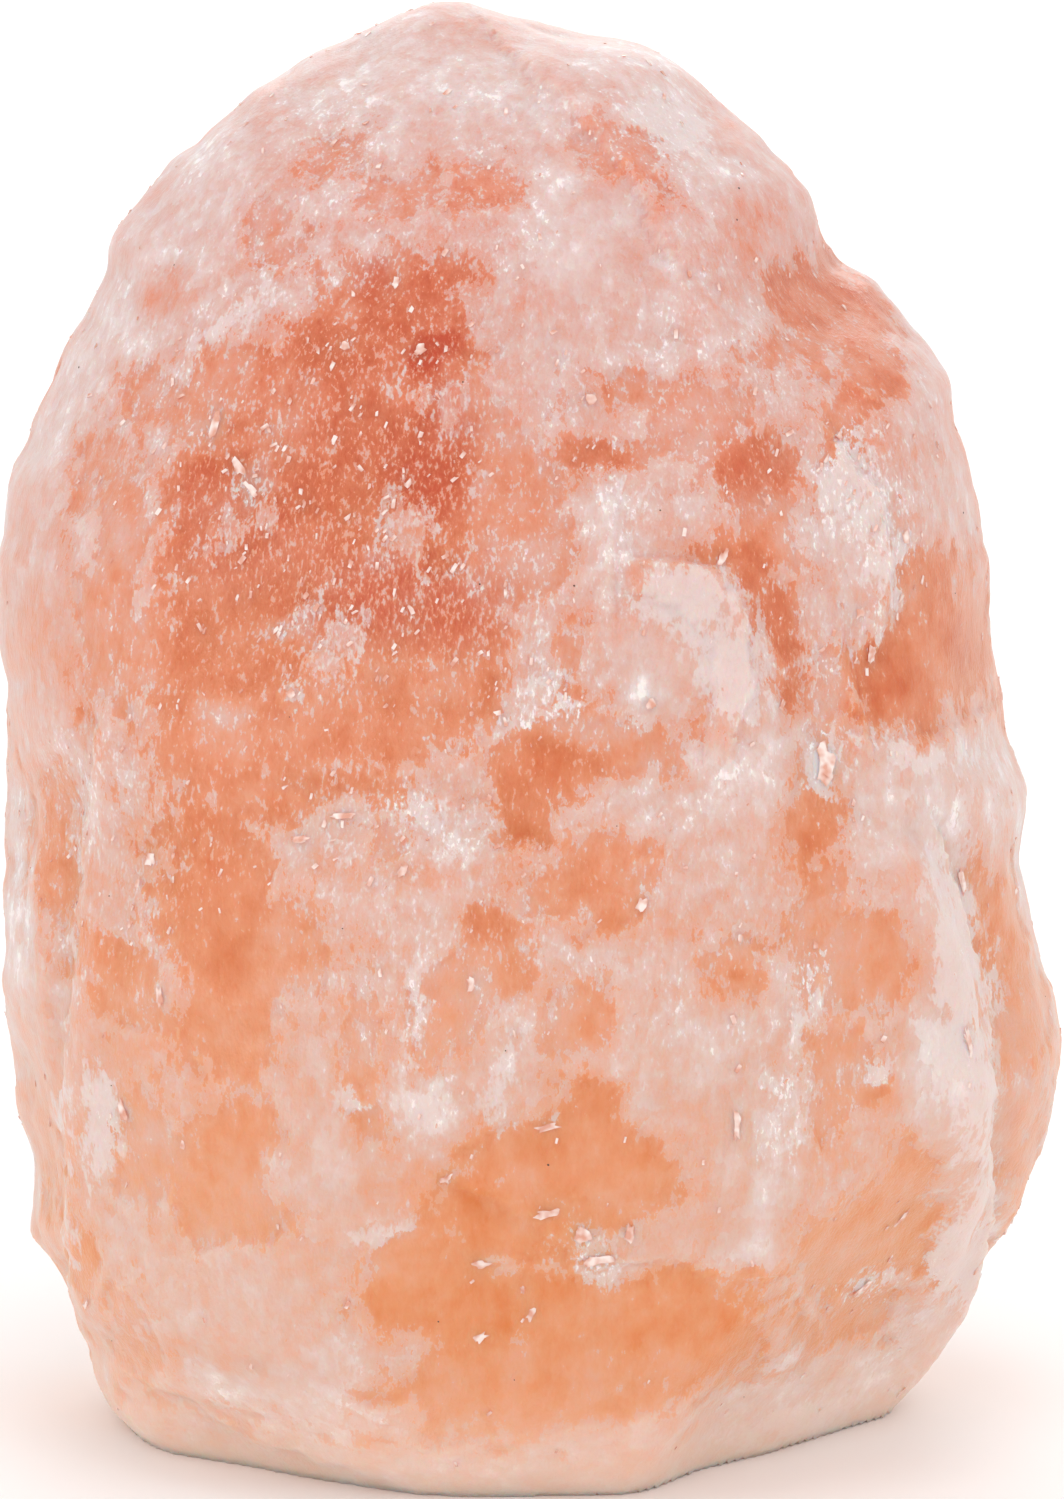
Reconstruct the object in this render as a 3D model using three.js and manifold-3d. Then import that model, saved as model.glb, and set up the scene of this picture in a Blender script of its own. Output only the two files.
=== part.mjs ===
// A hewn lump of pink rock salt, which is massive halite, in one piece.
// Millimetres, +Z up. It stands on the flat face it was sawn off on, with the origin in the
// middle of that face. The broad show face looks along -Y, so +X is at a viewer's right.
import * as THREE from "three";
import { ImprovedNoise } from "three/addons/math/ImprovedNoise.js";
import { mergeVertices } from "three/addons/utils/BufferGeometryUtils.js";
import Module from "manifold-3d";

// Driving dimensions of the whole lump.
const height = 180;
const width = 134;
const depth = 116;

// Every point of the skin is seen from the heart, a point on the Z axis inside the lump.
const heart = new THREE.Vector3(0, 0, 82);

// How finely the skin is faceted: 20 * (rings + 1) ** 2 triangles.
const rings = 20;

// Plan sections lie between an ellipse, at 2, and a box, at large values. They are square at
// mid height and turn to ellipses towards the crown and the foot.
const planSquareness = 2.35;

// The outline seen from the front, [x, z], clockwise from the top. Below z = 0 it only says
// how the lump turns under before the saw cut ends it.
const frontOutline = [
  [-9, 180], [-5.5, 178.6], [-1, 176.8], [7, 174.8], [14.6, 173.6], [21, 170.8], [26.6, 165.6],
  [33, 160.4], [36.4, 155], [37.6, 150], [41.6, 145], [47.2, 140], [51.4, 134.6], [53.6, 128],
  [56, 120], [58, 110], [59.2, 100], [60.6, 90], [62.8, 80], [63.2, 70], [65, 60],
  [68, 48], [66.2, 40], [63.4, 30], [58.6, 20], [54.6, 11], [50, 3.5], [42, -4.5], [24, -9],
  [0, -10],
  [-26, -10], [-44, -6], [-53, 1.5], [-56.6, 10], [-58, 16], [-61.6, 21], [-62.8, 29],
  [-63.8, 40], [-66.2, 52], [-67.2, 63], [-65.6, 74], [-64.2, 84], [-66, 95], [-67, 108],
  [-65.2, 119], [-60.2, 129], [-54.8, 139], [-52.6, 144.6], [-51.4, 150], [-47.2, 155.2],
  [-43.4, 160], [-35, 167.4], [-27, 173.4], [-17.6, 177.8],
];

// The outline seen from the left side, [y, z], with the show face at negative y.
const sideOutline = [
  [0, 177.6], [11, 176.4], [22, 171.6], [34, 161], [43, 145], [50, 122], [55, 96], [58, 68],
  [57, 44], [53, 20], [49, 7], [41, -3], [24, -9], [0, -10],
  [-24, -9], [-38, -4], [-46, 4], [-53, 17], [-57, 38], [-58, 62], [-55, 92], [-50, 118],
  [-42, 142], [-32, 159], [-21, 170.4], [-10, 176.2],
];

// Flats left by the hewing tool. Each is [bearing, tilt, cut]: the way the flat looks, in
// degrees round Z from +X and above the horizon, and how deep it goes below the round skin.
const hewnFlats = [
  [-92, 6, 1.5], [-52, 24, 1.6], [-128, 26, 1.4], [-60, -12, 1.2], [-118, -14, 1.2],
  [-80, 48, 1.8], [-40, -56, 8.4], [-134, -58, 2.8],
  [100, 4, 2.4], [58, 22, 2.6], [140, 26, 2.4], [20, 12, 1.6], [166, 0, 1.8],
  [84, 46, 2.6], [120, -18, 1.8], [60, -20, 2], [28, 48, 1.8], [152, 50, 2],
];

// Hollows and swellings of the skin. A place is [across, z] on one face, where across is x
// on the front and back and y on the two sides; reach is its half size there, and lift is
// out of the skin.
const swellings = [
  { face: "front", at: [-8, 178], reach: [6, 5], lift: 0.8 },
  { face: "front", at: [37, 147], reach: [9, 10], lift: -2.4 },
  { face: "front", at: [31, 133], reach: [8, 12], lift: -1.2 },
  { face: "front", at: [46, 128], reach: [9, 12], lift: 1.3 },
  { face: "front", at: [17, 95], reach: [8, 10], lift: -1.1 },
  { face: "front", at: [27, 92], reach: [4, 12], lift: 0.9 },
  { face: "front", at: [34, 98], reach: [4, 15], lift: -1.2 },
  { face: "front", at: [41, 113], reach: [6, 10], lift: 1.2 },
  { face: "front", at: [-30, 60], reach: [11, 20], lift: -1 },
  { face: "front", at: [-14, 70], reach: [16, 12], lift: 0.8 },
  { face: "front", at: [2, 24], reach: [20, 12], lift: -1 },
  { face: "front", at: [-36, 150], reach: [14, 10], lift: -0.8 },
  { face: "front", at: [6, 150], reach: [14, 16], lift: 0.9 },
  { face: "right", at: [6, 52], reach: [20, 16], lift: 1 },
  { face: "right", at: [-20, 92], reach: [12, 16], lift: -1.2 },
  { face: "right", at: [22, 116], reach: [14, 16], lift: -1.8 },
  { face: "left", at: [-18, 64], reach: [7, 36], lift: -1.2 },
  { face: "left", at: [16, 104], reach: [18, 16], lift: -1.8 },
  { face: "left", at: [22, 40], reach: [16, 14], lift: 1.2 },
  { face: "back", at: [16, 112], reach: [18, 14], lift: -2.4 },
  { face: "back", at: [-26, 66], reach: [15, 22], lift: -2 },
  { face: "back", at: [20, 46], reach: [16, 16], lift: 1.6 },
  { face: "back", at: [-10, 146], reach: [16, 10], lift: -1.4 },
];

// Ledges, where the skin steps down across a line. A line is a list of [across, z] on one
// face; the low side is at the right of a walk along it, and the skin climbs back to its
// old level over the fade.
const ledges = [
  { face: "front", step: 3.4, fade: 9, line: [[53, 18], [57, 34], [57, 48], [55, 62], [49, 78]] },
  { face: "front", step: 1.6, fade: 6, line: [[-53, 88], [-56, 60], [-57.5, 40], [-58, 22]] },
  { face: "front", step: 1.2, fade: 10, line: [[-46, 12], [-32, 4.5], [-16, 1.5]] },
  { face: "front", step: 1.6, fade: 12, line: [[19, -6], [19.5, 4], [22, 10]] },
  { face: "front", step: 1.4, fade: 12, line: [[-5, 175], [4, 167], [13, 157], [18, 146]] },
  { face: "front", step: 1.3, fade: 11, line: [[-2, 84], [-14, 83], [-31, 81]] },
  { face: "back", step: 2.2, fade: 15, line: [[-34, 128], [-12, 122], [8, 128], [26, 142]] },
  { face: "back", step: 2, fade: 12, line: [[30, 20], [34, 52], [28, 84]] },
  { face: "left", step: 2, fade: 11, line: [[34, 96], [30, 62], [36, 30]] },
];

// Width of the slope of a ledge, which the facets can still follow, and the share of its step
// that rises over the skin beside it instead of cutting in.
const ledgeSlope = 5;
const ledgeRise = 0.35;

// How far the crease between two flats is rounded off.
const creaseRound = 1.2;

// How squarely a face has to be looked at, from 0 to 1, for its relief to begin and to be whole.
const faceRim = 0.02;
const faceFull = 0.3;

// Waves of the whole skin: [length of a wave, how far it lifts].
const waves = [
  [38, 1.3],
  [15, 0.7],
];

// Where each wave is read in the noise, so that no two of them match.
const waveShift = 7;

const saltPink = 0xe8b09c;

const degrees = Math.PI / 180;
const mergeGap = 1e-5;
const noise = new ImprovedNoise();

// How far a closed outline stands from the heart, as a function of the angle above +across.
function reachOfOutline(outline) {
  const samplesPerPoint = 12;
  const curve = new THREE.CatmullRomCurve3(
    outline.map(([across, z]) => new THREE.Vector3(across, z - heart.z, 0)),
    true,
    "centripetal",
  );
  const samples = curve
    .getPoints(outline.length * samplesPerPoint)
    .map((point) => ({ angle: Math.atan2(point.y, point.x), reach: point.length() }))
    .sort((a, b) => a.angle - b.angle);
  const last = samples.length - 1;
  samples.unshift({ ...samples[last], angle: samples[last].angle - 2 * Math.PI });
  samples.push({ ...samples[1], angle: samples[1].angle + 2 * Math.PI });
  return (angle) => {
    const next = samples.findIndex((sample) => sample.angle >= angle);
    const [a, b] = [samples[next - 1], samples[next]];
    const share = (angle - a.angle) / Math.max(b.angle - a.angle, Number.EPSILON);
    return THREE.MathUtils.lerp(a.reach, b.reach, share);
  };
}

const frontReach = reachOfOutline(frontOutline);
const sideReach = reachOfOutline(sideOutline);

// The round skin before hewing: a loft between the two outlines.
function roundSkin(way) {
  const level = Math.hypot(way.x, way.y);
  const rise = Math.atan2(way.z, level);
  const across = frontReach(way.x >= 0 ? rise : Math.PI * Math.sign(rise || 1) - rise);
  const along = sideReach(way.y >= 0 ? rise : Math.PI * Math.sign(rise || 1) - rise);
  if (level < Number.EPSILON) return across;
  const squareness = THREE.MathUtils.lerp(2, planSquareness, level ** 2);
  const sum =
    (Math.abs(way.x) / level / across) ** squareness +
    (Math.abs(way.y) / level / along) ** squareness;
  return sum ** (-1 / squareness);
}

function wayOf(bearing, tilt) {
  return new THREE.Vector3(
    Math.cos(tilt * degrees) * Math.cos(bearing * degrees),
    Math.cos(tilt * degrees) * Math.sin(bearing * degrees),
    Math.sin(tilt * degrees),
  );
}

// The plane of a flat: square to the round skin where the flat looks, and cut into it.
function planeOfFlat([bearing, tilt, cut]) {
  const spread = 3;
  const [middle, beside, above] = [
    [bearing, tilt],
    [bearing + spread, tilt],
    [bearing, tilt + spread],
  ].map(([turn, lift]) => {
    const way = wayOf(turn, lift);
    return way.multiplyScalar(roundSkin(way));
  });
  const normal = beside.sub(middle).cross(above.sub(middle)).normalize();
  return { normal, away: normal.dot(middle) - cut };
}

const flats = hewnFlats.map(planeOfFlat);

// The smaller of two reaches, with the crease between them rounded off.
function softLesser(a, b, softness) {
  const blend = THREE.MathUtils.clamp(0.5 + (b - a) / (2 * softness), 0, 1);
  return THREE.MathUtils.lerp(b, a, blend) - softness * blend * (1 - blend);
}

function hewnSkin(way) {
  const leastFacing = 0.2;
  let reach = roundSkin(way);
  for (const { normal, away } of flats) {
    const facing = normal.dot(way);
    if (facing > leastFacing) reach = softLesser(reach, away / facing, creaseRound);
  }
  return reach;
}

// How squarely a way looks out of a face, from 0 at its rim to 1.
function shareOfFace(face, way) {
  const facing = { front: -way.y, back: way.y, right: way.x, left: -way.x }[face];
  return THREE.MathUtils.smoothstep(facing, faceRim, faceFull);
}

function placeOnFace(face, point) {
  return new THREE.Vector2(face === "front" || face === "back" ? point.x : point.y, point.z);
}

function liftOfSwelling({ face, at, reach, lift }, way, point) {
  const place = placeOnFace(face, point);
  const off = ((place.x - at[0]) / reach[0]) ** 2 + ((place.y - at[1]) / reach[1]) ** 2;
  return lift * Math.exp(-off) * shareOfFace(face, way);
}

// How far a place is from a line of points, and on which side: positive at its right.
function offsetFromLine(line, place) {
  let nearest = { distance: Infinity, side: 1 };
  for (let i = 1; i < line.length; i++) {
    const start = new THREE.Vector2(...line[i - 1]);
    const run = new THREE.Vector2(...line[i]).sub(start);
    const to = place.clone().sub(start);
    const share = THREE.MathUtils.clamp(to.dot(run) / run.lengthSq(), 0, 1);
    const distance = to.distanceTo(run.clone().multiplyScalar(share));
    const side = run.y * to.x - run.x * to.y > 0 ? 1 : -1;
    if (distance < nearest.distance) nearest = { distance, side };
  }
  return nearest.distance * nearest.side;
}

function liftOfLedge({ face, step, fade, line }, way, point) {
  const offset = offsetFromLine(line, placeOnFace(face, point));
  if (Math.abs(offset) > fade) return 0;
  const low = THREE.MathUtils.smoothstep(offset, -ledgeSlope / 2, ledgeSlope / 2);
  const back = 1 - THREE.MathUtils.smoothstep(Math.abs(offset), ledgeSlope / 2, fade);
  return step * (ledgeRise - low) * back * shareOfFace(face, way);
}

function liftOfWaves(point) {
  return waves.reduce(
    (lift, [length, most], i) =>
      lift +
      most * noise.noise(point.x / length + waveShift * i, point.y / length, point.z / length),
    0,
  );
}

// The finished skin: hewn, then worn by every swelling, ledge and wave.
function skinPoint(way) {
  const reach = hewnSkin(way);
  const point = way.clone().multiplyScalar(reach).add(heart);
  let lift = liftOfWaves(point);
  for (const swelling of swellings) lift += liftOfSwelling(swelling, way, point);
  for (const ledge of ledges) lift += liftOfLedge(ledge, way, point);
  return point.addScaledVector(way, lift);
}

// A ball's corners, stretched to the lump's proportions, moved out to the skin.
function wholeLump() {
  const ball = new THREE.IcosahedronGeometry(1, rings);
  ball.deleteAttribute("normal");
  ball.deleteAttribute("uv");
  const geometry = mergeVertices(ball, mergeGap);
  const corners = geometry.getAttribute("position");
  for (let i = 0; i < corners.count; i++) {
    const way = new THREE.Vector3()
      .fromBufferAttribute(corners, i)
      .multiply(new THREE.Vector3(width, depth, height))
      .normalize();
    corners.setXYZ(i, ...skinPoint(way));
  }
  return geometry;
}

const wasm = await Module();
wasm.setup();

function solidOf(geometry) {
  const bare = geometry.clone();
  bare.deleteAttribute("normal");
  bare.deleteAttribute("uv");
  const merged = mergeVertices(bare, mergeGap);
  return new wasm.Manifold(
    new wasm.Mesh({
      numProp: 3,
      vertProperties: new Float32Array(merged.getAttribute("position").array),
      triVerts: new Uint32Array(merged.index.array),
    }),
  );
}

function geometryOf(solid) {
  const mesh = solid.getMesh();
  return new THREE.BufferGeometry()
    .setAttribute("position", new THREE.BufferAttribute(mesh.vertProperties, 3))
    .setIndex(new THREE.BufferAttribute(mesh.triVerts, 1));
}

// The saw cut that gives the lump its flat foot: all below z = 0 goes.
function sawnOff(geometry) {
  const waste = new THREE.BoxGeometry(2 * width, 2 * depth, height);
  waste.translate(0, 0, -height / 2);
  return geometryOf(solidOf(geometry).subtract(solidOf(waste)));
}

// Sets the lump over the origin and brings it to its driving dimensions.
function toSize(geometry) {
  geometry.computeBoundingBox();
  const { min, max } = geometry.boundingBox;
  const size = max.clone().sub(min);
  geometry.translate(-(min.x + max.x) / 2, -(min.y + max.y) / 2, -min.z);
  return geometry.scale(width / size.x, depth / size.y, height / size.z);
}

function rockSaltLump() {
  const material = new THREE.MeshStandardMaterial({
    color: saltPink,
    roughness: 0.45,
    metalness: 0,
    flatShading: true,
  });
  const lump = new THREE.Mesh(toSize(sawnOff(wholeLump())), material);
  lump.name = "rock_salt_lump";
  return lump;
}

const part = new THREE.Group();
part.add(rockSaltLump());

export default part;
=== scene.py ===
import math
import random

import bmesh
import bpy
import numpy as np
from mathutils import Matrix, Vector, noise


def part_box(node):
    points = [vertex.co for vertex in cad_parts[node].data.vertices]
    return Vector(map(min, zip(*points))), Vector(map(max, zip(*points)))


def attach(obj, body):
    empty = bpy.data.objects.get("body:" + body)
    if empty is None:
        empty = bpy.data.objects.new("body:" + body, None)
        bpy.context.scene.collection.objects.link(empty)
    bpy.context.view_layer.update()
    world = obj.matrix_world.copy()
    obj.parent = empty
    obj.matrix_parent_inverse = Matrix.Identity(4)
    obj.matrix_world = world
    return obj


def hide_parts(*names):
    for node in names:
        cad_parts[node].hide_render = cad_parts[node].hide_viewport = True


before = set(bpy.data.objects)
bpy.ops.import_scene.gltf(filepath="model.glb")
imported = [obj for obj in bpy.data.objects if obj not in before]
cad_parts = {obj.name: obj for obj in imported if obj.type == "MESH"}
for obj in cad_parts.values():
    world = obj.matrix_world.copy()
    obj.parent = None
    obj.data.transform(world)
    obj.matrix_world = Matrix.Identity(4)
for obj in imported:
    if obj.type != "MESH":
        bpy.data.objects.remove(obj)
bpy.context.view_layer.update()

mm = 0.001

pointsPerMm = 7.9  # of the picture, on the stone

# The show view: where the camera stands, and the size of the picture it fills.
showView = {
    "aim": (-0.0005, 0.0, 0.0857),
    "distance": 0.9,
    "elevation": 10,
    "lens": 170.9,
    "sensor": 36.0,
    "picture": (1064, 1499),
    "facing": 0.15,  # how squarely skin looks at the camera to be found in the picture
}

# Which part of the noise each kind of wave takes.
shifts = {
    "warpAcross": 11.3, "warpDown": 23.9, "cloud": 31.0, "islands": 37.0, "wild": 41.0,
    "rust": 57.0, "broken": 61.0, "haze": 67.0, "hewn": 71.0, "grain": 79.0, "cleavage": 83.0,
    "frost": 89.0, "ledges": 97.0, "ledgesFine": 99.0,
}


def addToScene(name, data):
    added = bpy.data.objects.new(name, data)
    bpy.context.scene.collection.objects.link(added)
    return added


def addMesh(name, shape):
    mesh = bpy.data.meshes.new(name)
    shape.to_mesh(mesh)
    shape.free()
    return addToScene(name, mesh)


def backFromStone():
    tilt = math.radians(showView["elevation"])
    return Vector((0, -math.cos(tilt), math.sin(tilt)))


# Where points, in metres, are seen in the picture, in picture points across and down.
def seenAt(points):
    back = np.array(backFromStone())
    up = np.array((0, back[2], -back[1]))
    aside = points - np.array(showView["aim"])
    width, height = showView["picture"]
    perMetre = height * showView["lens"] / showView["sensor"] / (showView["distance"] - aside @ back)
    return width / 2 + aside[:, 0] * perMetre, height / 2 - (aside @ up) * perMetre


def makeCamera():
    back = backFromStone()
    data = bpy.data.cameras.new("showCamera")
    data.lens = showView["lens"]
    data.sensor_width = showView["sensor"]
    camera = addToScene("showCamera", data)
    camera.location = Vector(showView["aim"]) + back * showView["distance"]
    camera.rotation_euler = back.to_track_quat("Z", "Y").to_euler()
    bpy.context.scene.camera = camera


def smoothStep(low, high, value):
    share = np.clip((value - low) / (high - low), 0, 1)
    return share * share * (3 - 2 * share)


# Waves of the skin at points in mm; the shift picks another part of the noise.
def wavesAt(points, length, shift, octaves=1):
    places = (points / length + np.array((shift, 2.7 * shift, -shift))).tolist()
    if octaves == 1:
        return np.array([noise.noise(place) for place in places])
    fade, finer = 0.8, 2.0
    return np.array([noise.fractal(place, fade, finer, octaves) for place in places])


# Waves of several lengths, added up; each takes the next shift.
def addWaves(points, waves, shift, octaves=1):
    total = np.zeros(len(points))
    for turn, (length, reach) in enumerate(waves):
        total = total + reach * wavesAt(points, length, shift + turn, octaves)
    return total


# The points of a mesh, and how it faces at each.
def skinOf(mesh):
    flat = np.empty((2, len(mesh.vertices) * 3), np.float32)
    mesh.vertices.foreach_get("co", flat[0])
    mesh.vertices.foreach_get("normal", flat[1])
    return flat.reshape(2, -1, 3).astype(float)


def putPoints(mesh, points):
    mesh.vertices.foreach_set("co", points.astype(np.float32).ravel())
    mesh.update()


def keepOnSkin(mesh, name, values):
    attribute = mesh.attributes.new(name, "FLOAT", "POINT")
    attribute.data.foreach_set("value", values.astype(np.float32))


# How far each place is from a line, and on which hand: positive at the right of the walk.
def offsetFromLine(line, across, down):
    nearest = np.full(len(across), np.inf)
    hand = np.ones(len(across))
    for start, end in zip(line[:-1], line[1:]):
        run = np.subtract(end, start).astype(float)
        toX, toY = across - start[0], down - start[1]
        share = np.clip((toX * run[0] + toY * run[1]) / (run @ run), 0, 1)
        distance = np.hypot(toX - share * run[0], toY - share * run[1])
        closer = distance < nearest
        hand = np.where(closer, np.sign(run[0] * toY - run[1] * toX), hand)
        nearest = np.where(closer, distance, nearest)
    return nearest * hand


# How the skin is painted. Frost and broken white are depths in mm from their own edges, and tones
# are lightness from 0 to 1.
paint = {
    "outOfSight": (0.02, 0.30),  # how squarely skin looks at the camera to take the patches
    "warp": [(16.0, 16.0), (6.5, 13.0), (2.8, 8.0)],  # how far patches are drawn out of shape
    "patchEdge": 0.55,  # softness of a patch's tone, as a share of its size
    "stainEdge": 0.6,
    "shatterEdge": 0.7,
    "hazeEdge": 0.6,
    "frostFrom": 0.44,  # patches at least this light are a film of frost
    "snowFrom": 0.79,  # and these are broken white
    "frostOfRim": 0.3,  # mm that the frost of a ledge's rim reaches past its white
    "deepest": (2.6, 4.0),  # no point lies deeper in frost, or in white, or out of them
    "islands": (5.5, 1.6),  # waves that part the frost into islands
    "cloud": [(12.0, 0.13), (5.0, 0.14), (2.4, 0.10)],  # lightness that drifts over the skin
    "clearTone": 0.20,  # where no patch says otherwise
    "frostTone": 0.57,
    "haze": 0.3,
}

# The same past the show face, where waves take the place of patches.
wildPaint = {
    "patches": [(26.0, 0.85), (9.0, 0.40), (3.5, 0.15)],
    "middle": 0.50,
    "slope": 9.0,  # mm of depth for one whole of lightness
    "frostFrom": 0.48,
    "snowFrom": 0.92,
    "clearTone": (0.7, 0.06, 0.34),  # share of the lightness, and its least and most
    "frostTone": (0.30, 0.45, 0.46, 0.74),  # what is added to the share, too
    "haze": (30.0, -0.5, 0.5),  # length of the waves, and where they come in
    "rust": (15.0, 0.42, 0.75, 0.5),  # and how strong it is
    "broken": (12.0, -0.2, 0.6),
}

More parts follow.
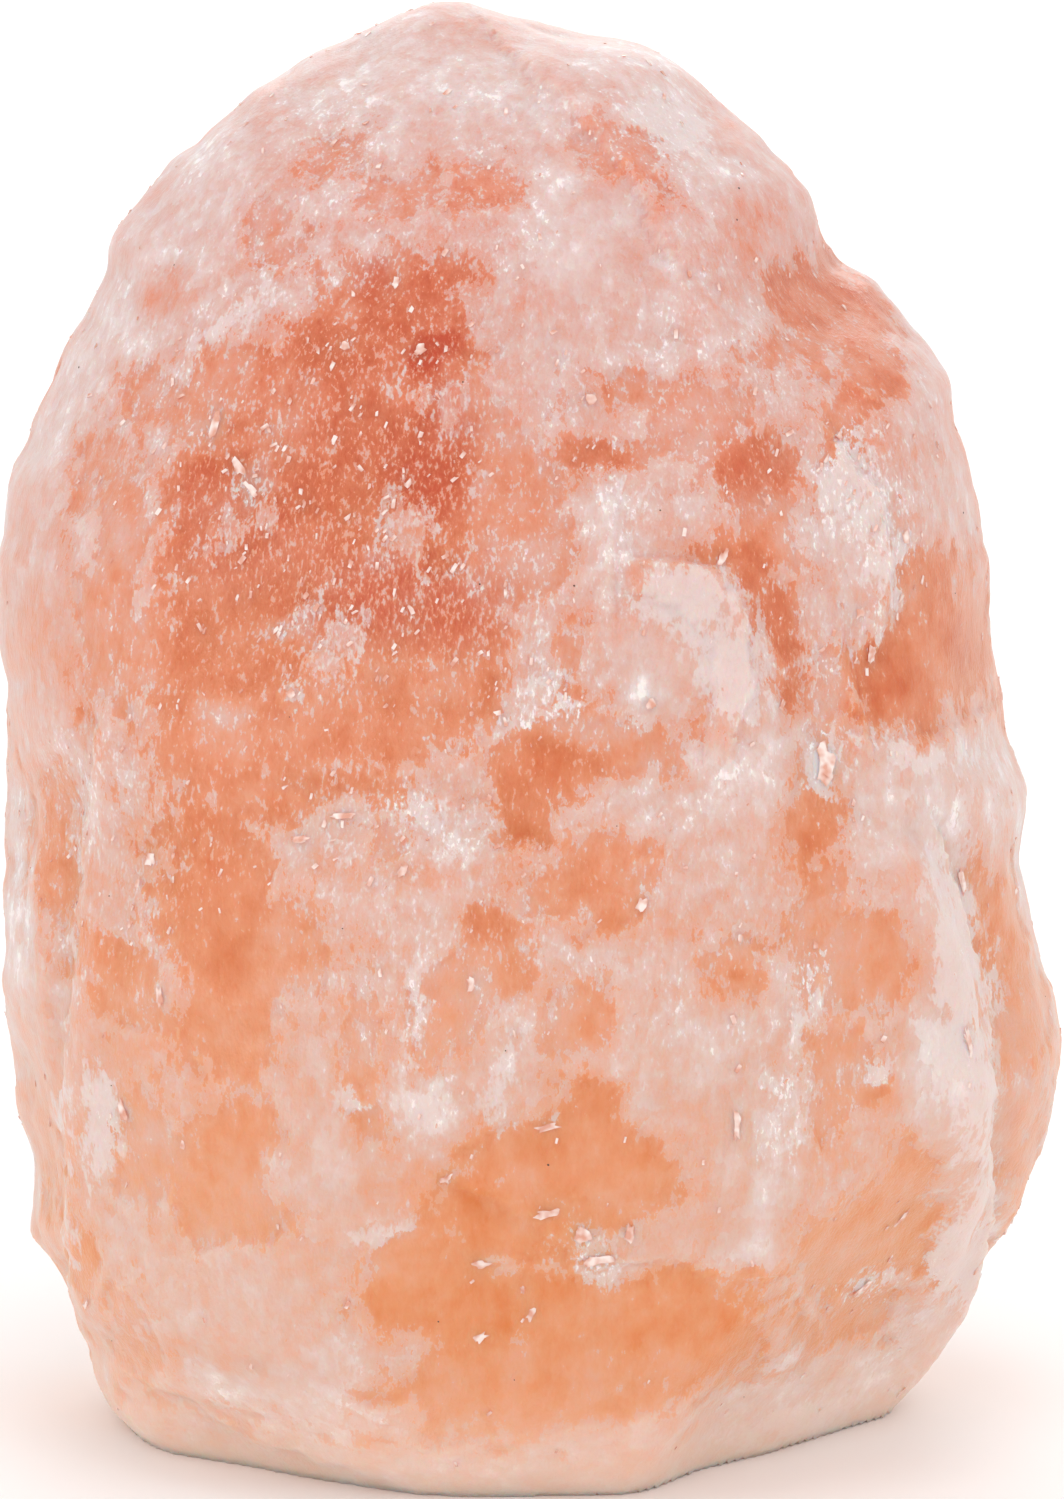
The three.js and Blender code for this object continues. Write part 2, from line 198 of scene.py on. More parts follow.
# Patches of the show face, painted one over another: across, down, half width, half height in
# picture points, lean in degrees, and lightness from 0, deep clear orange, to 1, white frost.
patches = {
    "crown": [
        (520, 60, 270, 80, 0, 0.72), (340, 150, 26, 42, 20, 0.34), (400, 190, 35, 25, 0, 0.36),
        (480, 182, 34, 34, 0, 0.28), (278, 228, 26, 38, -20, 0.35), (420, 95, 90, 26, -10, 0.78),
        (330, 205, 44, 20, -35, 0.74), (640, 240, 70, 70, 0, 0.60), (560, 235, 50, 95, 0, 0.74),
        (560, 300, 30, 60, 10, 0.78), (600, 150, 26, 20, 30, 0.43), (700, 180, 50, 35, 0, 0.75),
        (668, 130, 40, 38, 0, 0.92), (635, 158, 14, 40, -40, 0.40), (760, 220, 46, 45, 30, 0.48),
        (205, 165, 50, 30, -42, 0.78), (185, 240, 80, 45, -42, 0.72), (340, 60, 60, 30, -25, 0.785),
        (474, 262, 46, 22, 0, 0.62),
    ],
    "leftShoulder": [
        (100, 340, 60, 100, 25, 0.77), (160, 285, 36, 26, -30, 0.52), (225, 320, 46, 12, -42, 0.88),
        (160, 395, 34, 22, 0, 0.32), (45, 460, 34, 70, 12, 0.73), (110, 540, 42, 100, 0, 0.34),
        (75, 545, 26, 34, 0, 0.72), (38, 650, 28, 160, 0, 0.46),
    ],
    "clearCheek": [
        (380, 305, 95, 48, -10, 0.20), (370, 420, 120, 110, 0, 0.05), (446, 370, 40, 90, -6, 0.06),
        (478, 440, 34, 40, -20, 0.16), (500, 375, 22, 12, 0, 0.42), (260, 480, 110, 55, -10, 0.06),
        (240, 395, 66, 58, -30, 0.33), (400, 520, 100, 80, 0, 0.07), (270, 570, 115, 60, 0, 0.05),
        (210, 650, 90, 70, 0, 0.11), (410, 620, 90, 60, 0, 0.10), (395, 592, 84, 36, 0, 0.04),
        (350, 720, 130, 50, 0, 0.10), (470, 680, 30, 60, 0, 0.11), (215, 740, 60, 50, 0, 0.18),
        (120, 640, 40, 80, 0, 0.27), (290, 790, 130, 28, 5, 0.14), (190, 500, 30, 36, 0, 0.04),
        (240, 525, 32, 20, -20, 0.57), (250, 478, 13, 26, 20, 0.42), (210, 425, 18, 28, 0, 0.36),
        (408, 545, 30, 38, -20, 0.50), (378, 575, 22, 20, 0, 0.38), (400, 608, 72, 24, 0, 0.02),
        (328, 640, 27, 40, -14, 0.54), (300, 630, 26, 22, 0, 0.42), (470, 590, 28, 18, 0, 0.22),
        (474, 408, 16, 20, 10, 0.46), (424, 398, 20, 14, 10, 0.58), (225, 715, 30, 12, 0, 0.42),
        (160, 575, 12, 20, 0, 0.46), (345, 345, 24, 13, 0, 0.28), (290, 690, 11, 9, 0, 0.62),
    ],
    "middleBand": [
        (520, 420, 50, 90, 0, 0.40), (548, 345, 56, 80, 0, 0.56), (640, 330, 110, 70, 0, 0.64),
        (660, 290, 60, 40, 0, 0.70), (700, 425, 60, 50, 0, 0.42), (560, 440, 17, 34, 0, 0.74),
        (605, 450, 47, 22, 5, 0.14), (650, 385, 48, 20, 0, 0.33), (520, 540, 50, 70, 0, 0.32),
        (640, 500, 60, 50, 0, 0.57), (590, 500, 26, 40, 0, 0.62), (608, 555, 17, 66, 0, 0.78),
        (612, 520, 7, 40, 0, 0.92), (655, 660, 60, 70, 0, 0.60), (688, 592, 56, 28, 10, 0.82),
        (702, 632, 13, 40, -12, 0.90), (726, 668, 24, 50, 0, 0.88), (640, 690, 12, 46, 6, 0.76),
        (602, 540, 20, 66, 0, 0.77), (570, 645, 20, 30, 0, 0.36), (535, 680, 36, 40, 0, 0.70),
        (532, 668, 9, 34, 0, 0.90), (566, 690, 26, 10, 30, 0.88), (640, 745, 50, 20, 0, 0.24),
        (540, 765, 60, 55, 0, 0.05), (590, 722, 46, 20, 0, 0.38),
    ],
    "rightShoulder": [
        (830, 300, 64, 46, 20, 0.15), (880, 345, 38, 45, 0, 0.19), (830, 405, 26, 50, 0, 0.24),
        (800, 350, 46, 26, 0, 0.30), (740, 335, 30, 24, 0, 0.70), (780, 388, 30, 18, 0, 0.60),
        (755, 470, 42, 40, 0, 0.02), (780, 530, 40, 34, 0, 0.33), (730, 548, 44, 13, 15, 0.10),
        (935, 430, 55, 95, 12, 0.63), (850, 550, 50, 50, 0, 0.66), (850, 470, 25, 42, 12, 0.94),
        (872, 505, 22, 34, 0, 0.84), (830, 620, 38, 40, 0, 0.66), (885, 560, 20, 38, 0, 0.82),
        (930, 590, 45, 48, 0, 0.26), (1000, 590, 20, 46, 0, 0.18), (960, 645, 40, 64, 0, 0.12),
        (905, 680, 62, 52, 0, 0.06), (820, 690, 22, 40, 0, 0.40), (769, 628, 22, 84, -12, 0.05),
    ],
    "rightFlank": [
        (730, 780, 60, 66, 0, 0.72), (700, 865, 70, 55, 0, 0.62), (940, 800, 84, 62, 0, 0.785),
        (930, 752, 60, 10, 0, 0.90), (800, 810, 18, 56, 0, 0.35), (829, 765, 15, 32, 0, 0.97),
        (825, 848, 27, 48, 0, 0.12), (880, 860, 44, 46, 0, 0.62), (870, 955, 45, 66, 0, 0.22),
        (820, 950, 38, 56, 0, 0.32), (745, 968, 52, 24, 0, 0.31), (736, 972, 7, 6, 0, 0.0),
        (830, 1070, 50, 46, 0, 0.42), (770, 1040, 28, 80, 0, 0.66), (785, 1115, 24, 62, 0, 0.77),
        (783, 1138, 15, 20, 0, 0.95), (788, 1024, 6, 24, 0, 0.92), (806, 993, 5, 14, 20, 0.90),
        (940, 1075, 34, 56, 0, 0.78), (959, 962, 24, 112, -12, 0.98), (953, 1052, 30, 44, 0, 0.95),
        (1007, 942, 26, 92, -10, 0.18), (1024, 1035, 31, 62, 0, 0.30),
        (1020, 1130, 26, 70, 5, 0.40), (1008, 1215, 14, 36, 12, 0.77), (975, 1090, 16, 66, 0, 0.95),
        (982, 1200, 18, 70, 4, 0.88), (870, 1065, 19, 14, 0, 0.84),
    ],
    "leftFlank": [
        (205, 885, 60, 92, 0, 0.06), (245, 960, 55, 55, 0, 0.10), (62, 840, 24, 70, 0, 0.28),
        (105, 870, 20, 80, 0, 0.62), (24, 880, 13, 120, 0, 0.76), (160, 860, 22, 22, 0, 0.46),
        (110, 970, 45, 42, 0, 0.24), (150, 1020, 30, 30, 0, 0.24), (240, 1030, 70, 48, 0, 0.15),
        (72, 1000, 24, 48, 0, 0.56), (135, 1070, 50, 38, 0, 0.46), (55, 1130, 16, 90, -5, 0.50),
        (97, 1120, 20, 44, 0, 0.84), (230, 1150, 70, 48, 0, 0.22), (240, 1210, 60, 56, 0, 0.27),
        (150, 1150, 34, 56, 0, 0.38), (85, 1260, 22, 30, 0, 0.14), (62, 1210, 18, 50, -8, 0.18),
        (142, 1330, 24, 50, -12, 0.33),
    ],
    "frostField": [
        (350, 850, 60, 56, 0, 0.55), (450, 830, 46, 40, 0, 0.68), (430, 810, 26, 17, 0, 0.86),
        (451, 852, 14, 14, 0, 0.84), (348, 858, 8, 14, -20, 0.90), (391, 836, 18, 22, 0, 0.38),
        (518, 800, 34, 60, 0, 0.0), (430, 880, 40, 26, 0, 0.45), (348, 950, 50, 66, 0, 0.60),
        (296, 945, 34, 58, 0, 0.30), (320, 962, 14, 30, 0, 0.34), (420, 925, 36, 26, 0, 0.62),
        (500, 965, 40, 42, 0, 0.22), (485, 928, 25, 32, 0, 0.04), (550, 900, 50, 28, 0, 0.32),
        (610, 872, 52, 42, 0, 0.28), (590, 955, 60, 28, 0, 0.68), (450, 1010, 46, 42, 0, 0.36),
        (516, 1048, 34, 44, 10, 0.66), (507, 1066, 12, 44, 22, 0.82), (680, 1040, 80, 48, 0, 0.64),
        (655, 1088, 38, 44, 0, 0.66), (545, 865, 16, 12, 0, 0.72), (411, 1012, 7, 64, 3, 0.92),
        (575, 1070, 12, 30, 15, 0.68), (577, 1010, 30, 46, 0, 0.33), (320, 1060, 38, 48, 0, 0.56),
        (370, 1070, 18, 70, 0, 0.37), (437, 1036, 18, 30, 0, 0.37), (422, 1104, 42, 52, 0, 0.74),
        (422, 1106, 26, 30, 0, 0.84), (352, 1099, 17, 15, 0, 0.88), (330, 1170, 60, 46, 0, 0.56),
        (400, 1192, 46, 24, 0, 0.45), (545, 1128, 16, 6, -8, 0.90), (384, 1232, 24, 8, 5, 0.88),
        (445, 1182, 16, 10, 0, 0.60), (436, 1262, 18, 9, 0, 0.62),
    ],
    "base": [
        (730, 1150, 50, 40, 0, 0.55), (740, 1210, 50, 46, 0, 0.55), (570, 1162, 100, 52, 0, 0.05),
        (584, 1108, 36, 44, 0, 0.06), (510, 1220, 90, 46, 0, 0.04), (625, 1185, 64, 40, 0, 0.06),
        (765, 1205, 20, 76, 6, 0.77), (810, 1170, 50, 36, 0, 0.60), (420, 1280, 55, 48, 0, 0.11),
        (530, 1390, 160, 52, 0, 0.16), (700, 1350, 70, 50, 0, 0.18), (560, 1312, 190, 44, 0, 0.0),
        (690, 1295, 90, 26, 0, 0.08), (900, 1200, 44, 60, 0, 0.27), (870, 1262, 70, 66, -20, 0.21),
        (840, 1332, 60, 26, -15, 0.30), (240, 1310, 90, 66, 0, 0.62), (300, 1422, 170, 40, 8, 0.76),
        (230, 1412, 80, 10, 10, 0.42), (342, 1360, 27, 36, 0, 0.78), (630, 1440, 130, 26, -5, 0.68),
        (480, 1476, 200, 24, 0, 0.76), (800, 1390, 120, 38, -18, 0.76),
        (922, 1330, 38, 60, 25, 0.76), (960, 1250, 24, 50, 12, 0.80),
        (740, 1420, 90, 26, -10, 0.76), (800, 1424, 66, 16, -18, 0.90),
        (865, 1288, 23, 9, -10, 0.84), (600, 1262, 17, 8, 0, 0.86),
    ],
}

# Places where the skin is shattered into bright slivers, which are partly painted glints, in the
# same columns but for the last, how much.
shattered = [
    (540, 400, 450, 360, 0, 0.35), (540, 880, 420, 220, 0, 0.28), (200, 800, 190, 190, 0, 0.42),
    (480, 110, 340, 130, 0, 0.20), (570, 235, 60, 110, 5, 0.05), (680, 630, 76, 90, 0, 0.02),
    (602, 535, 24, 76, 0, 0.05), (90, 420, 110, 200, 20, 0.12), (400, 1010, 110, 130, 0, 0.20),
    (955, 960, 50, 160, -8, 0.05), (240, 990, 110, 110, 0, 0.12), (350, 420, 190, 150, 0, 0.70),
    (400, 560, 190, 100, 0, 0.80), (245, 492, 24, 34, -30, 0.9), (250, 532, 34, 22, -20, 0.8),
    (410, 545, 40, 52, -20, 1.0), (322, 640, 42, 50, -14, 1.0), (330, 150, 44, 50, 0, 0.55),
    (480, 190, 60, 50, 0, 0.5), (290, 690, 16, 12, 0, 1.0), (470, 250, 60, 40, 0, 0.5),
    (620, 470, 120, 100, 0, 0.35), (560, 690, 70, 60, 0, 0.6), (340, 795, 60, 14, 0, 0.8),
    (450, 830, 60, 50, 0, 0.5), (360, 910, 70, 90, 0, 0.5), (500, 930, 60, 50, 0, 0.6),
    (420, 1090, 60, 70, 0, 0.25), (580, 1245, 40, 26, 0, 0.8), (870, 480, 50, 60, 0, 0.5),
    (830, 640, 60, 50, 0, 0.5), (700, 990, 120, 60, 0, 0.3), (150, 860, 60, 110, 0, 0.5),
    (120, 1110, 50, 60, 0, 0.15), (870, 1290, 40, 20, 0, 0.3), (800, 1120, 50, 80, 0, 0.4),
    (240, 330, 60, 30, -45, 0.2), (620, 150, 60, 50, 0, 0.35),
]

# Rust-red stains inside the clear salt, in the same columns; the last is how strong.
stains = [
    (452, 338, 22, 18, 10, 1.15), (440, 364, 18, 20, 0, 1.25), (380, 272, 24, 15, 0, 0.55),
    (452, 425, 26, 54, 0, 0.60), (425, 485, 44, 50, -15, 0.75), (400, 600, 100, 44, 0, 0.60),
    (330, 420, 90, 50, -20, 0.16), (240, 520, 60, 60, 0, 0.35), (430, 300, 60, 50, 0, 0.15),
    (190, 500, 24, 32, 0, 0.40), (480, 930, 24, 28, 0, 0.10),
    (605, 450, 38, 20, 0, 0.06), (755, 475, 36, 40, 0, 0.30), (770, 640, 26, 70, -12, 0.25),
    (300, 560, 60, 40, 0, 0.20), (890, 690, 40, 40, 0, 0.15),
]

# Places where frost and clear salt run into each other without an edge, in the same columns but
# for the last, how much.
hazy = [
    (420, 120, 380, 170, 0, 1.0), (120, 400, 100, 150, 0, 0.9), (510, 450, 70, 230, 0, 0.9),
    (640, 330, 160, 90, 0, 0.7), (220, 1340, 170, 130, 0, 0.8), (620, 1450, 320, 60, 0, 0.8),
    (60, 720, 70, 180, 0, 0.7), (370, 420, 110, 90, 0, 0.6), (240, 690, 110, 70, 0, 0.5),
    (600, 1010, 160, 60, 0, 0.5), (450, 1230, 110, 70, 0, 0.5), (960, 560, 60, 160, 0, 0.5),
    (690, 820, 90, 80, 0, 0.6), (860, 1080, 60, 90, 0, 0.5), (420, 1000, 190, 220, 0, 0.8),
    (700, 1080, 130, 130, 0, 0.7), (690, 630, 70, 80, 0, 0.6), (360, 870, 90, 70, 0, 0.6),
]

# Lips and ledges of the show face, [across, down] in picture points. The low side is at the
# right hand of a walk along the line; the skin comes back to its level over the fade.
ledges = {
    "right ridge": {
        "step": 1.9, "fade": 60, "rim": 0.7,
        "line": [(962, 1330), (980, 1270), (991, 1200), (987, 1110), (986, 985),
                 (962, 928), (944, 860)],
    },
    "left lip": {
        "step": 1.2, "fade": 44, "rim": 0.0,
        "line": [(98, 740), (84, 860), (74, 1000), (66, 1130), (66, 1265)],
    },
    "outer left lip": {
        "step": 0.5, "fade": 24,
        "line": [(40, 790), (34, 900), (40, 1060), (52, 1190)],
    },
    "crown ridge": {
        "step": 0.6, "fade": 60,
        "line": [(500, 40), (560, 100), (625, 165), (660, 240)],
    },
    "shell rim": {
        "step": 0.7, "fade": 44, "rim": 0.3,
        "line": [(738, 728), (752, 680), (748, 610), (715, 570), (650, 556)],
    },
    "shell hollow": {
        "step": 0.5, "fade": 50,
        "line": [(650, 592), (690, 605), (712, 640), (722, 690), (712, 735)],
    },
    "tab edge": {
        "step": 0.9, "fade": 40, "rim": 0.3,
        "line": [(880, 640), (893, 600), (888, 545), (882, 495), (838, 440)],
    },
    "upright line": {
        "step": 0.4, "fade": 26,
        "line": [(610, 600), (614, 540), (606, 480)],
    },
    "frost over the cheek": {
        "step": 0.45, "fade": 36,
        "line": [(470, 800), (420, 790), (350, 797), (285, 792)],
    },
    "frost over the base": {
        "step": 0.5, "fade": 40,
        "line": [(470, 1190), (540, 1225), (600, 1268), (680, 1258), (720, 1290), (770, 1275)],
    },
    "frost under the clear block": {
        "step": 0.5, "fade": 34,
        "line": [(1000, 700), (945, 728), (905, 740), (862, 735)],
    },
    "frost beside the clear block": {
        "step": 0.5, "fade": 30,
        "line": [(868, 735), (860, 695), (846, 640)],
    },
    "foot bevel": {
        "step": 0.8, "fade": 44,
        "line": [(163, 1391), (260, 1440), (373, 1476)],
    },
}


# How far out each place lies from a patch's middle: 1 is its outline.
def outFrom(patch, across, down):
    atX, atY, halfWidth, halfHeight, lean = patch[:5]
    turn = math.radians(lean)
    asideX, asideY = across - atX, down - atY
    alongX = (asideX * math.cos(turn) + asideY * math.sin(turn)) / halfWidth
    alongY = (asideY * math.cos(turn) - asideX * math.sin(turn)) / halfHeight
    return np.hypot(alongX, alongY)


def patchCover(patch, across, down, edge):
    return 1 - smoothStep(1 - edge, 1 + edge, outFrom(patch, across, down))


# How far inside a patch each place is, in mm: below zero is outside.
def patchDepth(patch, across, down):
    return (1 - outFrom(patch, across, down)) * min(patch[2:4]) / pointsPerMm


# Depths in frost and in broken white, and the tones of clear salt and frost, from the patches.
def layPatches(across, down):
    frost = np.full(len(across), paint["deepest"][1])
    snow = -frost
    clearTone = np.full(len(across), paint["clearTone"])
    frostTone = np.full(len(across), paint["frostTone"])
    for region in patches.values():
        for patch in region:
            tone = patch[5]
            cover = patchCover(patch, across, down, paint["patchEdge"])
            depth = patchDepth(patch, across, down)
            if tone < paint["frostFrom"]:
                clearTone = clearTone + (tone - clearTone) * cover
                frost = np.minimum(frost, -depth)
                snow = np.minimum(snow, -depth)
            elif tone < paint["snowFrom"]:
                frostTone = frostTone + (tone - frostTone) * cover
                frost = np.maximum(frost, depth)
                snow = np.minimum(snow, -depth)
            else:
                frost = np.maximum(frost, depth)
                snow = np.maximum(snow, depth)
    for ledge in ledges.values():
        if "rim" in ledge:
            away = np.abs(offsetFromLine(ledge["line"], across, down)) / pointsPerMm
            frost = np.maximum(frost, ledge["rim"] + paint["frostOfRim"] - away)
            snow = np.maximum(snow, ledge["rim"] - away)
    return {"frost": frost, "snow": snow, "clearTone": clearTone, "frostTone": frostTone}


# The strongest of some places at each point.
def strongestOf(places, across, down, edge, least=0.0):
    strongest = np.full(len(across), least)
    for place in places:
        strongest = np.maximum(strongest, place[5] * patchCover(place, across, down, edge))
    return strongest


# What the show face shows at every point.
def paintShown(inMm, across, down):
    broken = np.zeros(len(inMm))
    for place in shattered:
        broken = broken + (place[5] - broken) * patchCover(place, across, down, paint["shatterEdge"])
    shown = layPatches(across, down)
    shown["rust"] = strongestOf(stains, across, down, paint["stainEdge"])
    shown["haze"] = strongestOf(hazy, across, down, paint["hazeEdge"], paint["haze"])
    shown["broken"] = broken
    return shown


# What the sides and the back show, where the photo says nothing.
def paintUnseen(inMm):
    wild = wildPaint["middle"] + addWaves(inMm, wildPaint["patches"], shifts["wild"], 2)
    clearShare, clearLeast, clearMost = wildPaint["clearTone"]
    frostBase, frostShare, frostLeast, frostMost = wildPaint["frostTone"]
    hazeWave, *hazeFrom = wildPaint["haze"]
    rustWave, rustLow, rustHigh, rustMost = wildPaint["rust"]
    brokenWave, *brokenFrom = wildPaint["broken"]
    return {
        "frost": (wild - wildPaint["frostFrom"]) * wildPaint["slope"],
        "snow": (wild - wildPaint["snowFrom"]) * wildPaint["slope"],
        "clearTone": np.clip(wild * clearShare, clearLeast, clearMost),
        "frostTone": np.clip(frostBase + wild * frostShare, frostLeast, frostMost),
        "rust": rustMost * smoothStep(rustLow, rustHigh, wavesAt(inMm, rustWave, shifts["rust"], 2)),
        "haze": smoothStep(*hazeFrom, wavesAt(inMm, hazeWave, shifts["haze"], 2)),
        "broken": smoothStep(*brokenFrom, wavesAt(inMm, brokenWave, shifts["broken"], 2)),
    }


# What the stone's skin shows at every point, and how much of it comes from the show face.
def paintSkin(points, normals):
    showing = smoothStep(*paint["outOfSight"], normals @ np.array(backFromStone()))
    inMm = points / mm
    across, down = seenAt(points)
    across = across + addWaves(inMm, paint["warp"], shifts["warpAcross"])
    down = down + addWaves(inMm, paint["warp"], shifts["warpDown"])
    shown = paintShown(inMm, across, down)
    unseen = paintUnseen(inMm)
    painted = {name: unseen[name] + (shown[name] - unseen[name]) * showing for name in shown}
    cloud = addWaves(inMm, paint["cloud"], shifts["cloud"], 2)
    painted["clearTone"] = painted["clearTone"] + cloud
    painted["frostTone"] = painted["frostTone"] + cloud
    islandWave, islandDepth = paint["islands"]
    islands = islandDepth * wavesAt(inMm, islandWave, shifts["islands"], 2)
    frostMost, snowMost = paint["deepest"]
    painted["frost"] = np.clip(painted["frost"] + islands, -frostMost, frostMost)
    painted["snow"] = np.clip(painted["snow"], -snowMost, snowMost)
    return painted, showing


# The form of the stone. Waves are [length in mm, how much].
lump = {
    "joined": 0.01,  # mm within which the loose corners of the faces are one
    "spacing": 1.02,  # mm between points of the skin
    "evenOut": (0.6, 11),  # how hard a round of smoothing is, and how many there are
    "footRim": 0.5,  # mm: what lies lower belongs to the sawn foot
    "footFade": 5.0,  # mm over which the relief dies out above the foot
    "hewnWaves": [(14.0, 0.45), (6.0, 0.20)],
    "grainWave": (2.1, 0.10),
    "cleavageWave": 6.0,
    "cleavageSteps": 5,
    "cleavageRise": (0.3, 0.7),  # the part of a step over which it rises
    "cleavageLift": 0.35,
    "frostLift": 0.35,
    "frostEdge": (-0.5, 0.5),  # mm over which the frost rises above the clear salt
    "frostWave": (2.4, 0.9),  # how that edge wanders
    "ledgeDrop": 7,  # picture points over which a ledge drops
    "ledgeHigh": 0.45,  # the part of a ledge's step that stands above the skin
    "ledgeWaves": [(5.0, 6.0), (2.2, 5.0)],  # how its line wanders, in picture points
}

# Knobs and nicks that break the outline: across, down and half size in picture points, lift in mm.
knocks = [
    (452, 10, 36, 0.6), (405, 22, 24, 0.4), (520, 40, 24, -0.5), (640, 58, 46, 1.1),
    (350, 45, 30, -0.6), (262, 98, 24, 0.7), (205, 150, 18, -0.6), (772, 150, 18, -0.4),
    (806, 190, 14, 0.3), (838, 256, 16, -0.5), (870, 282, 16, 0.5), (912, 322, 18, -0.4),
    (946, 378, 16, 0.7), (958, 420, 14, -0.4), (985, 560, 18, 0.5), (990, 610, 12, -0.3),
    (1004, 690, 26, 0.6), (1014, 790, 36, 1.0), (1020, 860, 16, -0.4), (1054, 990, 20, 0.5),
    (1044, 1080, 18, -0.4), (1008, 1215, 30, 0.8), (962, 1300, 22, 0.4), (108, 270, 20, -0.8),
    (70, 345, 22, 0.6), (28, 440, 22, -0.7), (12, 560, 22, 0.5), (10, 680, 18, -0.6),
    (22, 760, 14, 0.5), (12, 860, 18, -0.6), (14, 980, 18, 0.4), (22, 1060, 30, -0.8),
    (30, 1160, 34, -0.9), (46, 1225, 16, 0.5), (56, 1275, 26, -0.9), (96, 1350, 20, -0.6),
]


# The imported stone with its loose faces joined, its skin evened out to small equal faces.
def evenSkin(node):
    shape = bmesh.new()
    shape.from_mesh(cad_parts[node].data)
    bmesh.ops.remove_doubles(shape, verts=shape.verts, dist=lump["joined"] * mm)
    rough = addMesh("evenSkin", shape)
    remesh = rough.modifiers.new("remesh", "REMESH")
    remesh.mode = "VOXEL"
    remesh.voxel_size = lump["spacing"] * mm
    smooth = rough.modifiers.new("smooth", "SMOOTH")
    smooth.factor, smooth.iterations = lump["evenOut"]
    view = bpy.context.evaluated_depsgraph_get()
    even = bpy.data.meshes.new_from_object(rough.evaluated_get(view))
    bpy.data.objects.remove(rough)
    points, _ = skinOf(even)
    points[points[:, 2] < lump["footRim"] * mm, 2] = 0
    putPoints(even, points)
    return even


# How far the skin is lifted at each point, in mm.
def liftOfSkin(points, frost, showing):
    inMm = points / mm
    across, down = seenAt(points)
    lift = addWaves(inMm, lump["hewnWaves"], shifts["hewn"])
    lift += addWaves(inMm, [lump["grainWave"]], shifts["grain"])
    terrace = wavesAt(inMm, lump["cleavageWave"], shifts["cleavage"], 2)
    terrace = (terrace + 1) / 2 * lump["cleavageSteps"]
    step = np.floor(terrace)
    risen = step + smoothStep(*lump["cleavageRise"], terrace - step)
    lift += lump["cleavageLift"] * risen / lump["cleavageSteps"]
    frost = frost + addWaves(inMm, [lump["frostWave"]], shifts["frost"])
    frosted = smoothStep(*lump["frostEdge"], frost)
    lift += lump["frostLift"] * (frosted - 0.5)
    wander = addWaves(inMm, lump["ledgeWaves"][:1], shifts["ledges"])
    wander = wander + addWaves(inMm, lump["ledgeWaves"][1:], shifts["ledgesFine"])
    halfDrop = lump["ledgeDrop"] / 2
    for ledge in ledges.values():
        offset = offsetFromLine(ledge["line"], across, down) + wander
        low = smoothStep(-halfDrop, halfDrop, offset)
        back = 1 - smoothStep(halfDrop, ledge["fade"], np.abs(offset))
        lift += ledge["step"] * (lump["ledgeHigh"] - low) * back * showing
    for atX, atY, halfSize, most in knocks:
        lift += most * np.exp(-((across - atX) ** 2 + (down - atY) ** 2) / halfSize ** 2)
    return lift * smoothStep(0, lump["footFade"], inMm[:, 2])


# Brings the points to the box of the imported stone, and no further.
def fitToBox(points, low, high):
    least, most = points.min(0), points.max(0)
    return (points - least) / (most - least) * (np.array(high) - np.array(low)) + np.array(low)


def makeLump():
    mesh = evenSkin("rock_salt_lump")
    points, normals = skinOf(mesh)
    painted, showing = paintSkin(points, normals)
    lift = liftOfSkin(points, painted["frost"], showing)
    points = fitToBox(points + normals * lift[:, None] * mm, *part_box("rock_salt_lump"))
    putPoints(mesh, points)
    for name, values in painted.items():
        keepOnSkin(mesh, name, values)
    mesh.shade_smooth()
    return addToScene("saltStone", mesh)


# Flakes of salt that stand a little proud of the skin.
chips = {
    # across, down, length and width in picture points, lean in degrees from upright
    "seen": [
        (600, 1262, 30, 11, 80), (578, 1236, 34, 14, -30), (628, 1232, 20, 10, 10),
        (545, 1212, 24, 9, 75), (548, 1126, 26, 9, 80), (480, 1262, 24, 10, 70),
        (526, 1290, 9, 6, 0), (482, 1338, 18, 9, 60), (532, 1316, 16, 8, 20),
        (866, 1286, 26, 9, 60), (900, 1220, 26, 6, 25), (446, 1182, 22, 10, 70),
        (823, 765, 40, 20, 4), (873, 655, 20, 11, -12), (858, 610, 10, 8, 0),
        (240, 468, 22, 8, -40), (252, 490, 18, 7, -50), (213, 425, 30, 8, 6),
        (345, 345, 10, 9, 0), (398, 282, 12, 6, 0),
        (290, 690, 12, 8, 10), (420, 350, 14, 9, 30), (588, 400, 12, 10, 0),
        (768, 500, 12, 9, 0), (905, 535, 14, 9, 0), (150, 860, 14, 12, 0),
        (160, 1000, 20, 8, 0), (122, 1108, 24, 9, 0), (740, 1130, 30, 8, 0),
        (968, 1040, 34, 8, -6), (962, 880, 30, 8, -20), (655, 705, 12, 9, 0),
        (640, 905, 16, 10, 30), (470, 985, 14, 8, 0), (300, 840, 20, 7, 80),
        (345, 812, 26, 6, 84), (400, 870, 14, 8, 20), (720, 560, 18, 8, 30),
    ],
    "seenThickness": 0.30,  # mm
    "squareness": 0.7,  # 1 is round, and less is squarer
    "raggedness": (0.85, 0.8, 3.4),  # least size, how much more, and how fine
    "small": 2200,  # how many cleavage flakes over all the skin
    "smallestShare": 0.02,  # how likely one is on whole skin, beside 1 on shattered skin
    "smallFrom": 3.0,  # mm above the foot
    "smallLength": (0.35, 1.3),
    "smallWidth": (0.30, 0.55),  # as a share of the length
    "smallThickness": 0.14,
    "smallSpread": 22,  # degrees by which they lean otherwise than the grain
    "smallTilt": 18,  # degrees that a flake stands off the skin at most
    "colours": [(0.36, "dfa08a"), (0.64, "f6e4dc")],
    "colourWave": 1.3,  # mm
    "roughness": 0.25,
    "seed": 5,
}


